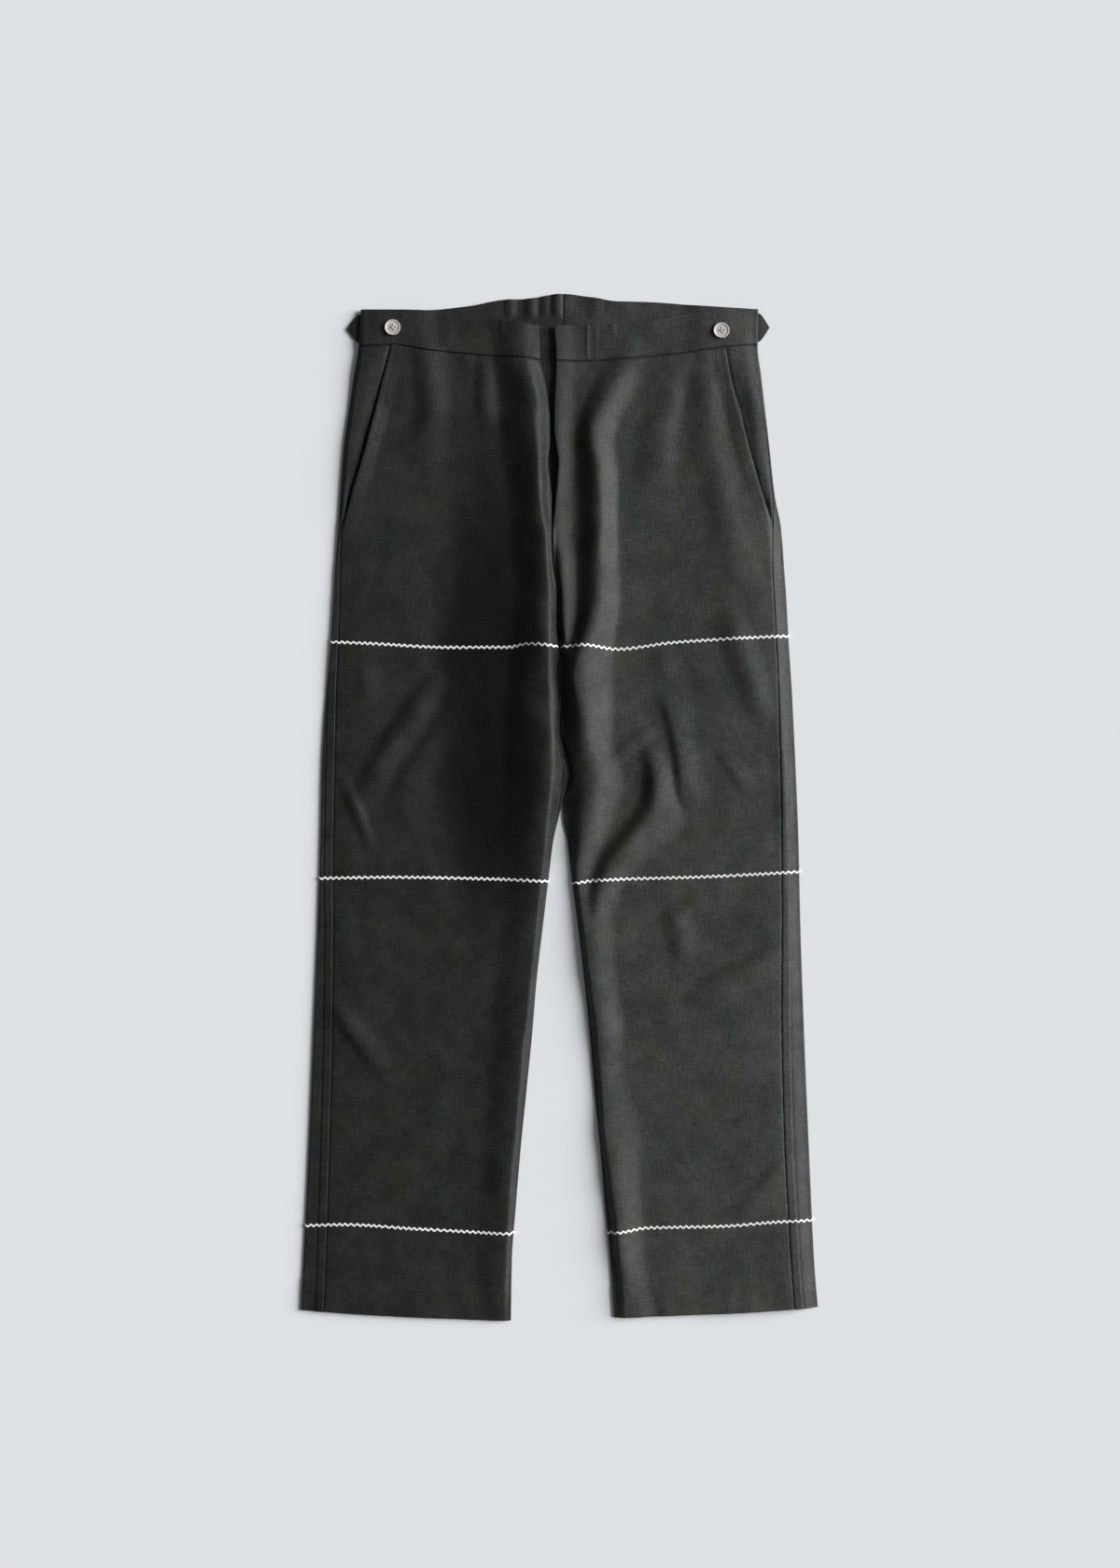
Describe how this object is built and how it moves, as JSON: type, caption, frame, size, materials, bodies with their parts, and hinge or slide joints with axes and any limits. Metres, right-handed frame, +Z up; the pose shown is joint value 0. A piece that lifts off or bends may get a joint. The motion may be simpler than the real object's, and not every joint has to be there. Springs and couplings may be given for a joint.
{
  "type": "tapered trousers laid flat",
  "caption": "Dark tapered trousers laid flat, front up, with slanted pockets, side tabs and rows of white wavy braid.",
  "frame": {"origin": "on the surface that the trousers lie on, under the centre of their outline", "axes": "+X towards the wearer's left leg, +Y towards the waist, +Z up from the surface"},
  "size_m": [0.5225, 1.0372, 0.0166],
  "materials": {
    "cloth": "matt charcoal twill with a soft sheen",
    "braid": "white woven wavy braid",
    "button": "polished pale grey shell look"
  },
  "bodies": {
    "root": {"right_front": "cloth", "left_front": "cloth", "right_back": "cloth", "left_back": "cloth", "right_front_waistband": "cloth", "left_front_waistband": "cloth", "right_back_waistband": "cloth", "left_back_waistband": "cloth", "right_pocket_facing": "cloth", "left_pocket_facing": "cloth", "fly_shield": "cloth", "right_tab": "cloth", "left_tab": "cloth", "right_button": "button", "left_button": "button", "braid_thigh_right": "braid", "braid_thigh_left": "braid", "braid_knee_right": "braid", "braid_knee_left": "braid", "braid_hem_right": "braid", "braid_hem_left": "braid"}
  },
  "joints": []
}
